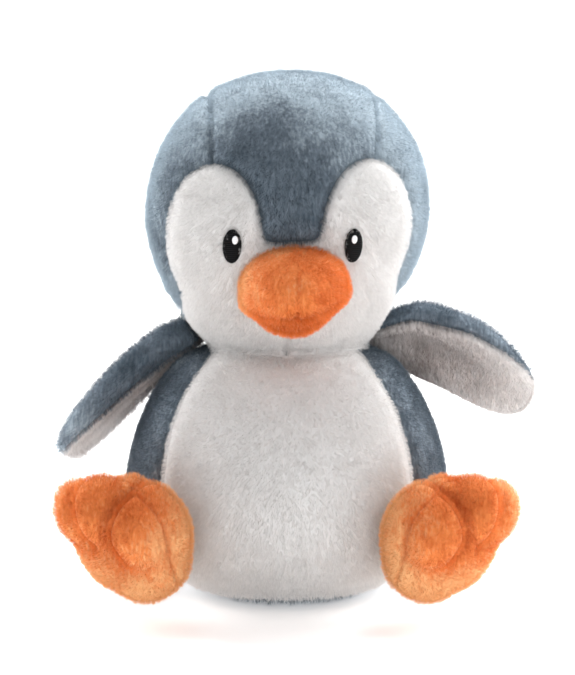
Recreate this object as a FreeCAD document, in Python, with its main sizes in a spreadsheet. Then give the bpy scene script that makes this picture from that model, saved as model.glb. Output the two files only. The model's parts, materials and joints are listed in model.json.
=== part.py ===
# Plush penguin, seated, 203 mm tall.  Cut-and-sewn panels over stuffing.
# Frame: millimetres, +Z up, the penguin faces -Y, its own left side is +X.
# Origin: centre of the flat underside that it sits on.
import FreeCAD, Part
import os
import Sketcher
from FreeCAD import Placement, Rotation, Vector

doc = FreeCAD.newDocument("plush_penguin")

# ---------------------------------------------------------------- dimensions
DIMENSIONS = [
    # alias, value, meaning
    ("cloth", 1.6, "thickness of the plush cloth with its pile"),
    ("play", 0.6, "room between a limb and the torso over its whole swing"),
    ("torso_radius", 62, "half width of the torso"),
    ("torso_tall", 56, "vertical half axis of the torso"),
    ("torso_level", 46, "height of the torso's widest place"),
    ("base_lip", 5, "height of the base panel's turned-up edge"),
    ("belly_half_wide", 50.5, "half width of the white belly panel"),
    ("belly_half_tall", 60, "vertical half axis of the belly panel"),
    ("belly_level", 44, "height of the belly panel's centre"),
    ("head_radius", 54.5, "half width of the head"),
    ("head_tall", 57, "vertical half axis of the head"),
    ("head_level", 145.5, "height of the head's centre"),
    ("neck_level", 96, "height of the neck's centre, where the head pivots"),
    ("neck_radius", 26, "radius of the firm stuffing in the neck"),
    ("neck_fit", 0.4, "room round the neck stuffing"),
    ("chin_slope", 12, "slope of the head's underside, degrees"),
    ("shoulder_slope", 10, "slope of the torso's top, degrees"),
    ("neck_thread", 0.5, "half thickness of the closing thread round the neck"),
    ("lobe_across", 17.2, "half width of one face lobe"),
    ("lobe_tall", 26, "half height of one face lobe"),
    ("lobe_side", 28, "sideways place of a face lobe's centre"),
    ("lobe_level", 143.5, "height of a face lobe's centre"),
    ("cheek_across", 44, "half width of the lower face"),
    ("cheek_tall", 27, "half height of the lower face"),
    ("cheek_level", 113, "height of the lower face's centre"),
    ("crown_half_wide", 31, "half width of the crown gusset on top"),
    ("crown_nape", 14, "half width of the crown gusset at the nape"),
    ("crown_bend_level", 171, "height where the gusset starts to narrow"),
    ("crown_nape_level", 92, "height where the gusset ends at the nape"),
    ("beak_across", 19.8, "half width of the beak"),
    ("beak_deep", 27, "half axis of the beak towards its tip"),
    ("beak_tall", 16.4, "half height of the beak"),
    ("beak_front", 46, "how far in front of the axis the beak's centre lies"),
    ("beak_level", 123.5, "height of the beak's centre"),
    ("beak_mouth_level", 116, "height of the seam between upper and lower beak"),
    ("eye_across", 3.5, "half width of an embroidered eye"),
    ("eye_tall", 6.5, "half height of an embroidered eye"),
    ("eye_side", 21.8, "sideways place of an eye"),
    ("eye_level", 139.5, "height of an eye"),
    ("eye_thread", 0.7, "height of the embroidery above the cloth"),
    ("glint_across", 1.4, "half width of the white glint"),
    ("glint_tall", 2.1, "half height of the white glint"),
    ("glint_up", 2.9, "height of the glint above the eye's centre"),
    ("glint_thread", 0.4, "height of the glint above the eye"),
    ("pouch_radius", 29, "radius of the bean pouch"),
    ("pouch_tall", 10.5, "vertical half axis of the bean pouch"),
    ("pouch_level", 14, "height of the bean pouch's centre"),
    ("pouch_cloth", 0.8, "thickness of the pouch's lining cloth"),
    ("wing_half_long", 36, "half length of a wing's outline"),
    ("wing_half_wide", 20, "half width of a wing's outline"),
    ("wing_dome", 8.5, "how far the outer cloth bulges from the wing's seam"),
    ("wing_sag", 3, "how far the lining bulges from the wing's seam"),
    ("wing_reach", 26, "distance from the root to the middle of the outline"),
    ("wing_trim", 5, "distance from the root to the wing's inner end"),
    ("wing_root_side", 40.5, "sideways place of a wing's root"),
    ("wing_root_back", 6, "how far behind the axis a wing's root lies"),
    ("wing_root_level", 91, "height of a wing's root"),
    ("wing_left_droop", 24, "how far the raised left wing hangs, degrees"),
    ("wing_left_twist", 62, "turn of the left wing about its length, degrees"),
    ("wing_right_droop", 46, "how far the right wing hangs, degrees"),
    ("wing_right_twist", 14, "turn of the right wing about its length, degrees"),
    ("wing_left_up", 5, "swing of the left wing upwards from rest, degrees"),
    ("wing_left_down", 25, "swing of the left wing downwards from rest, degrees"),
    ("wing_right_up", 32, "swing of the right wing upwards from rest, degrees"),
    ("wing_right_down", 12, "swing of the right wing downwards from rest, degrees"),
    ("foot_across", 28, "half width of a foot"),
    ("foot_deep", 16, "half thickness of a foot"),
    ("foot_tall", 23, "half height of a foot's heel and sole"),
    ("toe_across", 10, "half width of a toe"),
    ("toe_deep", 13, "half thickness of a toe"),
    ("toe_tall", 14, "half height of a toe"),
    ("toe_pitch", 17.5, "distance between neighbouring toes"),
    ("toe_rise", 12, "height of the toes' centres above the sole's centre"),
    ("stitch_ring", 11, "radius of a toe stitch's loop"),
    ("stitch_thread", 0.5, "half thickness of the toe thread"),
    ("stitch_room", 0.2, "room that the thread has pressed into the cloth"),
    ("foot_hip_azimuth", 54, "place of a foot's hip seam round the torso, degrees"),
    ("foot_hip_level", 14, "height of a foot's hip seam"),
    ("foot_hip_out", 51.5, "distance of a foot's hip seam from the axis"),
    ("foot_forward", 17, "how far the sole's centre lies in front of the hip seam"),
    ("foot_up", 14, "height of the sole's centre above the hip seam"),
    ("foot_splay", 35, "turn of a foot outwards, degrees"),
    ("foot_lean", 14, "lean of a foot's toes forwards, degrees"),
    ("foot_roll", 20, "lean of a foot's toes outwards, degrees"),
    ("foot_in", 6, "swing of the toes towards the belly, degrees"),
    ("foot_out", 10, "swing of the toes away from the belly, degrees"),
]
sheet = doc.addObject("Spreadsheet::Sheet", "Dimensions")
for row, (alias, value, meaning) in enumerate(DIMENSIONS, start=1):
    sheet.set("A%d" % row, meaning)
    sheet.set("B%d" % row, str(value))
    sheet.setAlias("B%d" % row, alias)
doc.recompute()

FAR = 200                      # longer than anything here, for cutting tools
NODES = []                     # the finished sub-parts, in the order they are made


def size(alias):
    """A driving dimension as a number, for placements worked out in this file."""
    return float(sheet.get(alias))


def bind(thing, **formulas):
    """Ties properties to the sheet.  In a formula, a name after # is an alias."""
    for prop, formula in formulas.items():
        thing.setExpression(prop.replace("__", "."), formula.replace("#", "Dimensions."))
    return thing


def node(thing, label, placement=None):
    """Marks a finished sub-part: its label names its file."""
    thing.Label = label
    if placement is not None:
        thing.Placement = placement
    NODES.append(thing)
    return thing


# ------------------------------------------------------------ shared builders
def round_form(name, across, deep, tall):
    """A whole ellipsoid by its half axes along X, Y and Z."""
    body = doc.addObject("Part::Ellipsoid", name)
    body.Angle1 = -90
    body.Angle2 = 90
    body.Angle3 = 360
    return bind(body, Radius1=tall, Radius2=across, Radius3=deep)


def ellipsoid(name, across, deep, tall, x="0", y="0", z="0"):
    """An ellipsoid with its centre tied to the sheet too."""
    return bind(round_form(name, across, deep, tall),
                Placement__Base__x=x, Placement__Base__y=y, Placement__Base__z=z)


def cut(name, base, tool):
    """The base with the tool's room taken out of it."""
    result = doc.addObject("Part::Cut", name)
    result.Base = base
    result.Tool = tool
    return result


def common(name, base, tool):
    """What the base and the tool share."""
    result = doc.addObject("Part::Common", name)
    result.Base = base
    result.Tool = tool
    return result


def fuse(name, things):
    """Several solids as one."""
    result = doc.addObject("Part::MultiFuse", name)
    result.Shapes = things
    return result


def block(name, low, high):
    """A cutting block between two corners given as formulas."""
    body = doc.addObject("Part::Box", name)
    names = ("Length", "Width", "Height")
    places = ("Placement__Base__x", "Placement__Base__y", "Placement__Base__z")
    for length, place, start, end in zip(names, places, low, high):
        bind(body, **{length: "(%s) - (%s)" % (end, start), place: start})
    return body


def oval_rod(name, across, tall, x, z):
    """An oval seen from the front, carried forwards through the penguin's front half."""
    oval = doc.addObject("Part::Ellipse", name + "_outline")
    upright = size(tall.strip("#")) > size(across.strip("#"))
    if upright:
        oval.Placement = Placement(Vector(), Rotation(Vector(0, 0, 1), Vector(1, 0, 0), Vector(0, 1, 0)))
        bind(oval, MajorRadius=tall, MinorRadius=across)
    else:
        oval.Placement = Placement(Vector(), Rotation(Vector(1, 0, 0), Vector(0, 0, 1), Vector(0, -1, 0)))
        bind(oval, MajorRadius=across, MinorRadius=tall)
    bind(oval, Placement__Base__x=x, Placement__Base__z=z)
    rod = doc.addObject("Part::Extrusion", name)
    rod.Base = oval
    rod.DirMode = "Custom"
    rod.Dir = Vector(0, -1, 0)
    rod.LengthFwd = FAR
    rod.Solid = True
    return rod


def half(name, side):
    """The half space on the penguin's left (side 1) or right (side -1)."""
    low = "0" if side > 0 else "-%d" % FAR
    high = "%d" % FAR if side > 0 else "0"
    far = "%d" % FAR
    return block(name, (low, "-" + far, "-" + far), (high, far, "2 * " + far))


left_half = half("left_half", 1)
right_half = half("right_half", -1)
above_floor = block("above_floor", ("-%d" % FAR, "-%d" % FAR, "0"), ("%d" % FAR, "%d" % FAR, "%d" % FAR))
above_neck = block("above_neck", ("-%d" % FAR, "-%d" % FAR, "#neck_level"),
                   ("%d" % FAR, "%d" % FAR, "2 * %d" % FAR))
below_neck = block("below_neck", ("-%d" % FAR, "-%d" % FAR, "-%d" % FAR),
                   ("%d" % FAR, "%d" % FAR, "#neck_level"))


# ------------------------------------------------------------------ the neck
def plane_of(body, role):
    """One of a body's own origin planes."""
    return next(f for f in body.Origin.OriginFeatures if f.Role == role)


def neck_gap():
    """The wedge of open room round the neck, between the chin's and the shoulders' slopes."""
    body = doc.addObject("PartDesign::Body", "neck_gap")
    sketch = body.newObject("Sketcher::SketchObject", "neck_gap_sketch")
    sketch.AttachmentSupport = [(plane_of(body, "XZ_Plane"), "")]
    sketch.MapMode = "FlatFace"
    middle = Vector(0, size("neck_level"), 0)
    low = Vector(FAR / 2, size("neck_level") - FAR / 8, 0)
    high = Vector(FAR / 2, size("neck_level") + FAR / 8, 0)
    for start, end in ((middle, low), (low, high), (high, middle)):
        sketch.addGeometry(Part.LineSegment(start, end), False)
    for first in range(3):
        sketch.addConstraint(Sketcher.Constraint("Coincident", first, 2, (first + 1) % 3, 1))
    sketch.addConstraint(Sketcher.Constraint("PointOnObject", 0, 1, -2))
    sketch.addConstraint(Sketcher.Constraint("Vertical", 1))
    level = sketch.addConstraint(Sketcher.Constraint("DistanceY", -1, 1, 0, 1, middle.y))
    reach = sketch.addConstraint(Sketcher.Constraint("DistanceX", 0, 1, 0, 2, FAR / 2))
    down = sketch.addConstraint(Sketcher.Constraint("DistanceY", 0, 2, 0, 1, FAR / 8))
    rise = sketch.addConstraint(Sketcher.Constraint("DistanceY", 2, 2, 2, 1, FAR / 8))
    sketch.setExpression("Constraints[%d]" % level, "Dimensions.neck_level")
    sketch.setExpression("Constraints[%d]" % down,
                         "Constraints[%d] * tan(Dimensions.shoulder_slope)" % reach)
    sketch.setExpression("Constraints[%d]" % rise,
                         "Constraints[%d] * tan(Dimensions.chin_slope)" % reach)
    doc.recompute()
    turn = body.newObject("PartDesign::Revolution", "neck_gap_turn")
    turn.Profile = sketch
    turn.ReferenceAxis = (sketch, ["V_Axis"])
    turn.Angle = 360
    body.Tip = turn
    return body


gap = neck_gap()
NECK_CENTRE = {"x": "0", "y": "0", "z": "#neck_level"}
neck_ball = ellipsoid("neck_ball", "#neck_radius", "#neck_radius", "#neck_radius", **NECK_CENTRE)
NECK_ROOM = "#neck_radius + #neck_fit"
neck_socket = ellipsoid("neck_socket", NECK_ROOM, NECK_ROOM, NECK_ROOM, **NECK_CENTRE)
neck_band = doc.addObject("Part::Torus", "neck_band")
bind(neck_band, Radius1="#neck_radius + #neck_fit", Radius2="#neck_thread",
     Placement__Base__z="#neck_level")
node(neck_band, "neck_seam_thread")
thread_track = doc.addObject("Part::Torus", "thread_track")
bind(thread_track, Radius1="#neck_radius + #neck_fit", Radius2="#neck_thread + #stitch_room",
     Placement__Base__z="#neck_level")
node(cut("neck_plug", neck_ball, thread_track), "neck_stuffing")


# ------------------------------------------------- a sewn skin over stuffing
def skin_and_filling(name, radius, tall, level, openings):
    """The outer cloth and the room inside it, both opened at the neck and the floor."""
    centre = {"x": "0", "y": "0", "z": level}
    outer = ellipsoid(name + "_outer", radius, radius, tall, **centre)
    inner = ellipsoid(name + "_inner", radius + " - #cloth", radius + " - #cloth",
                      tall + " - #cloth", **centre)
    skin = cut(name + "_skin", cut(name + "_wall", outer, inner), openings)
    filling = cut(name + "_filling", inner, openings)
    return outer, skin, filling


# ----------------------------------------------------------------- the torso
torso, torso_skin, torso_filling = skin_and_filling(
    "torso", "#torso_radius", "#torso_tall", "#torso_level", fuse("torso_openings", [gap, above_neck]))


def base_panel():
    """The flat disc it sits on, with the narrow edge that turns up to the belly seam."""
    disc_room = block("base_room", ("-#torso_radius", "-#torso_radius", "0"),
                      ("#torso_radius", "#torso_radius", "#base_lip"))
    stuffed = block("stuffed_room", ("-#torso_radius", "-#torso_radius", "#cloth"),
                    ("#torso_radius", "#torso_radius", "2 * #torso_tall"))
    inside = common("base_inside", stuffed, torso_filling)
    lowest = common("base_slice", torso, disc_room)
    node(cut("base_cup", lowest, inside), "base_panel")
    return disc_room, inside


base_room, torso_inside = base_panel()
belly_rod = oval_rod("belly_outline", "#belly_half_wide", "#belly_half_tall", "0", "#belly_level")
torso_walls = cut("torso_walls", common("torso_upright", torso_skin, above_floor), base_room)
node(common("belly_cloth", torso_walls, belly_rod), "belly_panel")
back_cloth = cut("back_cloth", torso_walls, belly_rod)
node(common("back_cloth_left", back_cloth, left_half), "back_panel_left")
node(common("back_cloth_right", back_cloth, right_half), "back_panel_right")

POUCH_CENTRE = {"x": "0", "y": "0", "z": "#pouch_level"}
pouch = ellipsoid("pouch_outer", "#pouch_radius", "#pouch_radius", "#pouch_tall", **POUCH_CENTRE)
beans = ellipsoid("pouch_inner", "#pouch_radius - #pouch_cloth", "#pouch_radius - #pouch_cloth",
                  "#pouch_tall - #pouch_cloth", **POUCH_CENTRE)
node(cut("pouch_wall", pouch, beans), "bean_pouch")
node(beans, "bean_pellets")
torso_hollow = fuse("torso_hollow", [pouch, neck_socket])
node(cut("torso_fibre", torso_inside, torso_hollow), "torso_stuffing")


# ------------------------------------------------------------------ the head
head, head_skin, head_filling = skin_and_filling(
    "head", "#head_radius", "#head_tall", "#head_level", fuse("head_openings", [gap, below_neck]))
node(cut("head_fibre", head_filling, neck_socket), "head_stuffing")


def crown_outline():
    """The gusset's outline from the front: level on top, narrowing down to the nape."""
    body = doc.addObject("PartDesign::Body", "crown_tool")
    sketch = body.newObject("Sketcher::SketchObject", "crown_sketch")
    sketch.AttachmentSupport = [(plane_of(body, "XZ_Plane"), "")]
    sketch.MapMode = "FlatFace"
    wide = size("crown_half_wide")
    nape = size("crown_nape")
    bend = size("crown_bend_level")
    low = size("crown_nape_level")
    top = FAR + bend
    corners = [Vector(wide, top, 0), Vector(-wide, top, 0), Vector(-wide, bend, 0),
               Vector(-nape, low, 0), Vector(nape, low, 0), Vector(wide, bend, 0)]
    for place, corner in enumerate(corners):
        sketch.addGeometry(Part.LineSegment(corner, corners[(place + 1) % len(corners)]), False)
    count = len(corners)
    for place in range(count):
        sketch.addConstraint(Sketcher.Constraint("Coincident", place, 2, (place + 1) % count, 1))
    for place, (across, level) in enumerate((("#crown_half_wide", "%d" % top),
                                             ("-#crown_half_wide", "%d" % top),
                                             ("-#crown_half_wide", "#crown_bend_level"),
                                             ("-#crown_nape", "#crown_nape_level"),
                                             ("#crown_nape", "#crown_nape_level"),
                                             ("#crown_half_wide", "#crown_bend_level"))):
        for kind, formula, value in (("DistanceX", across, corners[place].x),
                                     ("DistanceY", level, corners[place].y)):
            made = sketch.addConstraint(Sketcher.Constraint(kind, -1, 1, place, 1, value))
            sketch.setExpression("Constraints[%d]" % made, formula.replace("#", "Dimensions."))
    doc.recompute()
    pad = body.newObject("PartDesign::Pad", "crown_pad")
    pad.Profile = sketch
    pad.Midplane = True
    pad.Length = FAR
    body.Tip = pad
    return body


crown_tool = crown_outline()
lobe_left = oval_rod("lobe_left", "#lobe_across", "#lobe_tall", "#lobe_side", "#lobe_level")
lobe_right = oval_rod("lobe_right", "#lobe_across", "#lobe_tall", "-#lobe_side", "#lobe_level")
cheeks = oval_rod("cheeks", "#cheek_across", "#cheek_tall", "0", "#cheek_level")
face_tool = fuse("face_tool", [lobe_left, lobe_right, cheeks])

face_cloth = common("face_cloth", head_skin, face_tool)
hood_cloth = cut("hood_cloth", head_skin, face_tool)
side_cloth = cut("side_cloth", hood_cloth, crown_tool)
node(common("crown_cloth", hood_cloth, crown_tool), "crown_gusset")
for word, side in (("left", left_half), ("right", right_half)):
    node(common("face_cloth_" + word, face_cloth, side), "face_panel_" + word)
    node(common("side_cloth_" + word, side_cloth, side), "head_side_" + word)


# ------------------------------------------------------------------ the beak
def beak():
    """A stuffed beak sewn on to the face, its lower half showing as a strip under the upper."""
    centre = {"x": "0", "y": "-#beak_front", "z": "#beak_level"}
    outer = ellipsoid("beak_outer", "#beak_across", "#beak_deep", "#beak_tall", **centre)
    inner = ellipsoid("beak_inner", "#beak_across - #cloth", "#beak_deep - #cloth",
                      "#beak_tall - #cloth", **centre)
    mouth = block("mouth_room", ("-#beak_across", "-%d" % FAR, "#beak_level - 2 * #beak_tall"),
                  ("#beak_across", "0", "#beak_mouth_level"))
    skin = cut("beak_skin", cut("beak_wall", outer, inner), head)
    node(cut("beak_upper_cloth", skin, mouth), "beak_upper")
    node(common("beak_lower_cloth", skin, mouth), "beak_lower")
    node(cut("beak_fibre", inner, head), "beak_stuffing")


beak()


# ------------------------------------------------------------------ the eyes
def head_layer(name, low, high):
    """A layer of thread lying on the head's cloth, between two heights above it."""
    centre = {"x": "0", "y": "0", "z": "#head_level"}
    top = ellipsoid(name + "_top", "#head_radius + " + high, "#head_radius + " + high,
                    "#head_tall + " + high, **centre)
    if low is None:
        return cut(name, top, head)
    under = ellipsoid(name + "_under", "#head_radius + " + low, "#head_radius + " + low,
                      "#head_tall + " + low, **centre)
    return cut(name, top, under)


eye_layer = head_layer("eye_layer", None, "#eye_thread")
glint_layer = head_layer("glint_layer", "#eye_thread", "#eye_thread + #glint_thread")
for word, sign in (("left", ""), ("right", "-")):
    oval = oval_rod("eye_oval_" + word, "#eye_across", "#eye_tall", sign + "#eye_side", "#eye_level")
    node(common("eye_stitches_" + word, eye_layer, oval), "eye_" + word)
    spot = oval_rod("glint_oval_" + word, "#glint_across", "#glint_tall",
                    sign + "#eye_side", "#eye_level + #glint_up")
    node(common("glint_stitches_" + word, glint_layer, spot), "eye_glint_" + word)


# ------------------------------------------------- limbs that swing on a seam
def swept_torso(name, seat, axis, angles):
    """The torso, a little larger, as a limb meets it over its swing, in the limb's own frame."""
    copies = []
    room = "#play + #torso_"
    for place, angle in enumerate(angles):
        copy = round_form("%s_%d" % (name, place), room + "radius", room + "radius", room + "tall")
        swing = Placement(seat.Base, Rotation(axis, -angle)) * Placement(-seat.Base, Rotation())
        copy.Placement = seat.inverse() * swing * Placement(Vector(0, 0, size("torso_level")), Rotation())
        copies.append(copy)
    return fuse(name, copies)


# ----------------------------------------------------------------- the wings
def wing_blank():
    """A wing lying flat, its root at the origin: outer cloth domed up, lining below the seam."""
    centre = {"x": "#wing_reach", "y": "0", "z": "0"}
    across = ("#wing_half_long", "#wing_half_wide")
    inner = ("#wing_half_long - #cloth", "#wing_half_wide - #cloth")
    dome = ellipsoid("wing_dome", *across, "#wing_dome", **centre)
    dome_room = ellipsoid("wing_dome_room", *inner, "#wing_dome - #cloth", **centre)
    pan = ellipsoid("wing_pan", *across, "#wing_sag", **centre)
    pan_room = ellipsoid("wing_pan_room", *inner, "#wing_sag - #cloth", **centre)
    upper = block("wing_upper", ("#wing_trim", "-#wing_half_wide", "0"),
                  ("2 * #wing_half_long", "#wing_half_wide", "#wing_dome"))
    lower = block("wing_lower", ("#wing_trim", "-#wing_half_wide", "-#wing_sag"),
                  ("2 * #wing_half_long", "#wing_half_wide", "0"))
    upper_half = common("wing_upper_half", dome, upper)
    lower_half = common("wing_lower_half", pan, lower)
    upper_room = common("wing_upper_room", dome_room, upper)
    lower_room = common("wing_lower_room", pan_room, lower)
    return {"outer": cut("wing_outer_blank", upper_half, dome_room),
            "lining": cut("wing_lining_blank", lower_half, pan_room),
            "wadding": fuse("wing_wadding_blank", [upper_room, lower_room])}


def wing_seat(side, droop, twist):
    """Where a wing's root sits and how the wing is turned there."""
    heading = Rotation(Vector(0, 0, 1), 0 if side > 0 else 180)
    hang = Rotation(Vector(0, 1, 0), side * droop)
    turn = Rotation(Vector(1, 0, 0), -twist)
    root = Vector(side * size("wing_root_side"), size("wing_root_back"), size("wing_root_level"))
    return Placement(root, hang * heading * turn)


wing_parts = wing_blank()
for word, side in (("left", 1), ("right", -1)):
    seat = wing_seat(side, size("wing_%s_droop" % word), side * size("wing_%s_twist" % word))
    up = size("wing_%s_up" % word)
    down = size("wing_%s_down" % word)
    steps = [-up, -up / 2, 0, down / 2, down]
    room = swept_torso("wing_room_" + word, seat, Vector(0, side, 0), steps)
    for piece, blank in wing_parts.items():
        node(cut("wing_%s_cut_%s" % (piece, word), blank, room), "wing_%s_%s" % (word, piece), seat)


# ------------------------------------------------------------------ the feet
def foot_form(name, inset):
    """Sole and three toes as one round form, its hip seam at the origin, toes up."""
    y_place = "-#foot_forward"
    lumps = [ellipsoid(name + "_sole", "#foot_across" + inset, "#foot_deep" + inset,
                       "#foot_tall" + inset, "0", y_place, "#foot_up")]
    for toe, place in (("in", "-#toe_pitch"), ("middle", "0"), ("out", "#toe_pitch")):
        lumps.append(ellipsoid(name + "_toe_" + toe, "#toe_across" + inset, "#toe_deep" + inset,
                               "#toe_tall" + inset, place, y_place, "#foot_up + #toe_rise"))
    return fuse(name, lumps)


def toe_loops(name, thickness):
    """Two loops of thread, one each side of the middle toe, that pull the toes apart."""
    loops = []
    for word, place in (("in", "-#toe_pitch / 2"), ("out", "#toe_pitch / 2")):
        loop = doc.addObject("Part::Torus", name + "_" + word)
        loop.Placement = Placement(Vector(), Rotation(Vector(0, 1, 0), 90))
        bind(loop, Radius1="#stitch_ring", Radius2=thickness, Placement__Base__x=place,
             Placement__Base__y="-#foot_forward", Placement__Base__z="#foot_up + #toe_rise")
        loops.append(loop)
    return fuse(name, loops)


def foot_seat(side):
    """Where a foot's hip seam lies on the torso and how the foot is turned there."""
    round_torso = Rotation(Vector(0, 0, 1), side * size("foot_hip_azimuth"))
    hip = round_torso.multVec(Vector(0, -size("foot_hip_out"), 0))
    hip.z = size("foot_hip_level")
    splay = Rotation(Vector(0, 0, 1), side * size("foot_splay"))
    lean = Rotation(Vector(1, 0, 0), size("foot_lean"))
    roll = Rotation(Vector(0, 1, 0), side * size("foot_roll"))
    return Placement(hip, splay * lean * roll), splay.multVec(Vector(1, 0, 0))


foot_outer = foot_form("foot_outer", "")
foot_inner = foot_form("foot_inner", " - #cloth")
thread = toe_loops("toe_thread", "#stitch_thread")
thread_room = toe_loops("toe_thread_room", "#stitch_thread + #stitch_room")
sole_room = block("sole_room", ("-2 * #foot_across", "-3 * #foot_deep", "-2 * #foot_tall"),
                  ("2 * #foot_across", "-#foot_forward", "3 * #foot_tall"))
foot_skin = cut("foot_skin", cut("foot_wall", foot_outer, foot_inner), thread_room)
foot_parts = {"sole": common("foot_sole_blank", foot_skin, sole_room),
              "top": cut("foot_top_blank", foot_skin, sole_room),
              "stuffing": cut("foot_stuffing_blank", foot_inner, thread_room),
              "toe_stitches": thread}
for word, side in (("left", 1), ("right", -1)):
    seat, hinge = foot_seat(side)
    steps = [-size("foot_in"), 0, size("foot_out")]
    room = swept_torso("foot_room_" + word, seat, hinge, steps)
    for piece, blank in foot_parts.items():
        node(cut("foot_%s_cut_%s" % (piece, word), blank, room), "foot_%s_%s" % (word, piece), seat)
    print("foot", word, "hip", [round(v, 2) for v in seat.Base], "hinge", [round(v, 4) for v in hinge])

# ------------------------------------------------------------ check and write
doc.recompute()
failed = [thing.Name for thing in doc.Objects if "Invalid" in thing.State or "Error" in thing.State]
failed += [thing.Label for thing in NODES if thing.Shape.isNull() or not thing.Shape.isValid()]
if failed:
    raise RuntimeError("not built: " + ", ".join(failed))
os.makedirs("parts", exist_ok=True)
for thing in NODES:
    box = thing.Shape.BoundBox
    print("%-22s solids %d  volume %9.1f  x %6.1f %6.1f  y %6.1f %6.1f  z %6.1f %6.1f" % (
        thing.Label, len(thing.Shape.Solids), thing.Shape.Volume,
        box.XMin, box.XMax, box.YMin, box.YMax, box.ZMin, box.ZMax))
    thing.Shape.exportStep("parts/%s.step" % thing.Label)
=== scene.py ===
# Plush penguin: plush cloth panels sewn over stuffing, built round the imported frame.
# Metres, +Z up, the face looks along -Y and +X is the penguin's own left side.
import json
import math

import bmesh
import bpy
from mathutils import Matrix, Vector, noise


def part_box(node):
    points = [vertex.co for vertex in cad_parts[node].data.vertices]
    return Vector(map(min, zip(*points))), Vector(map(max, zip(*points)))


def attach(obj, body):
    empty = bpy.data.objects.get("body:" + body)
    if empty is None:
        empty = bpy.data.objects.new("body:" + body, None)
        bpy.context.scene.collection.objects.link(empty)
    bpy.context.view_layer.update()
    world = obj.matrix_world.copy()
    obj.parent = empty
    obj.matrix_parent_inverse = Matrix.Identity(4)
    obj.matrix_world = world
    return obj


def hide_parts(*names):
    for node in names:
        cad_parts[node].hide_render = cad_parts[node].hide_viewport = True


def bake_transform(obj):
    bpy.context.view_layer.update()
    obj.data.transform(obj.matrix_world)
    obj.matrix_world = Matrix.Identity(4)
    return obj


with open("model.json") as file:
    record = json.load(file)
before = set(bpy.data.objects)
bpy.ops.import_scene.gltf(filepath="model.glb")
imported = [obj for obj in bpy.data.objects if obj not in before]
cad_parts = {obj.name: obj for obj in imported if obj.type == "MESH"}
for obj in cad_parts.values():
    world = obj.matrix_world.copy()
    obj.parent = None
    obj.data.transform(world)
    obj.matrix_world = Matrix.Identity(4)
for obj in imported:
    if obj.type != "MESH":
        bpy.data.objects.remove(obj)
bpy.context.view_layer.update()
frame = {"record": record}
scene = bpy.context.scene
MM = 0.001
joint_at = {joint["name"]: Vector(joint["pos_m"]) for joint in frame["record"]["behaviour"]["joints"]}


# ---------------------------------------------------------------- torso skin
# The torso is four panels of blue-grey and white plush: belly, two back halves that meet in a seam
# down the spine, and a flat base.  They are sewn right sides together, turned and stuffed, so each
# seam sinks into the pile and the cloth puffs up beside it.
FUR = 1.1 * MM
CLOTH = 1.1 * MM
PUFF = 0.6 * MM
TORSO_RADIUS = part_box("back_panel_left")[1][0] + 0.5 * MM - FUR - PUFF
TORSO_LEVEL = 45 * MM
NECK_LEVEL = joint_at["head_nod"].z
NECK_RING = 30 * MM
SEAM_DEEP, SEAM_WIDE = 1.9 * MM, 1.3 * MM
PRESSURE, MOST_SWELL = 1.5, 1.2 * MM
BODY_STEPS = 62
UNDER_SKIN = 3.2 * MM
BELLY_HALF_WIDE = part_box("belly_panel")[1][0] - 3 * MM
BELLY_HALF_TALL = 63 * MM
BELLY_LEVEL = 45 * MM
BASE_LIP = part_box("base_panel")[1][2]


def blank_ball(steps):
    """An even ball of quads with radius one, to be pushed into a stuffed shape."""
    bm = bmesh.new()
    bmesh.ops.create_cube(bm, size=2)
    bmesh.ops.subdivide_edges(bm, edges=bm.edges[:], cuts=steps, use_grid_fill=True)
    for vert in bm.verts:
        even = Vector([math.tan(value * math.pi / 4) for value in vert.co])
        vert.co = even.normalized()
    return bm


def lathe(direction, wide, deep, up, down):
    """A stuffed form turned about the vertical.  up and down each give the height above or below
    its widest level, how soon the side starts to close, and how bluntly it closes."""
    tall, start, close = up if direction.z > 0 else down
    height = abs(direction.z)
    around = Vector((direction.x, direction.y)).normalized() if height < 1 else Vector((1, 0))
    reach = max(0, 1 - height ** start) ** close
    rise = math.copysign(height * tall, direction.z)
    return Vector((wide * reach * around.x, deep * reach * around.y, rise))


def draw_in(point, level, softness):
    """Pulls the form in (or out) to the ring where head and torso are sewn together."""
    near = math.exp(-(((point.z - level) / softness) ** 2))
    round_neck = math.hypot(point.x, point.y)
    if round_neck > 5 * MM:
        point.xy *= 1 + near * (NECK_RING / round_neck - 1)
    return point


def smooth_step(low, high, value):
    """0 below low, 1 above high and an easy curve between."""
    share = min(1, max(0, (value - low) / (high - low)))
    return share * share * (3 - 2 * share)


def oval_gap(point, middle, across, tall):
    """About how far a point lies outside (or, below zero, inside) an oval seen from the front."""
    reach = math.hypot((point.x - middle[0]) / across, (point.z - middle[1]) / tall)
    return (reach - 1) * min(across, tall)


def cut_along(bm, field):
    """Cuts the mesh along the line where field(point) is zero, so that a seam runs smoothly."""
    near = 0.12
    level = {vert: field(vert.co) for vert in bm.verts}
    for edge in bm.edges[:]:
        start, end = edge.verts
        if level[start] * level[end] >= 0:
            continue
        share = level[start] / (level[start] - level[end])
        if share < near or share > 1 - near:
            vert, other, along = (start, end, share) if share < near else (end, start, 1 - share)
            vert.co = vert.co.lerp(other.co, along)
            level[vert] = 0
        else:
            _, vert = bmesh.utils.edge_split(edge, start, share)
            level[vert] = 0
    for face in bm.faces[:]:
        ring = [loop.vert for loop in face.loops]
        split = seam_corners(ring, level)
        if split:
            bmesh.utils.face_split(face, *split)


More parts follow.
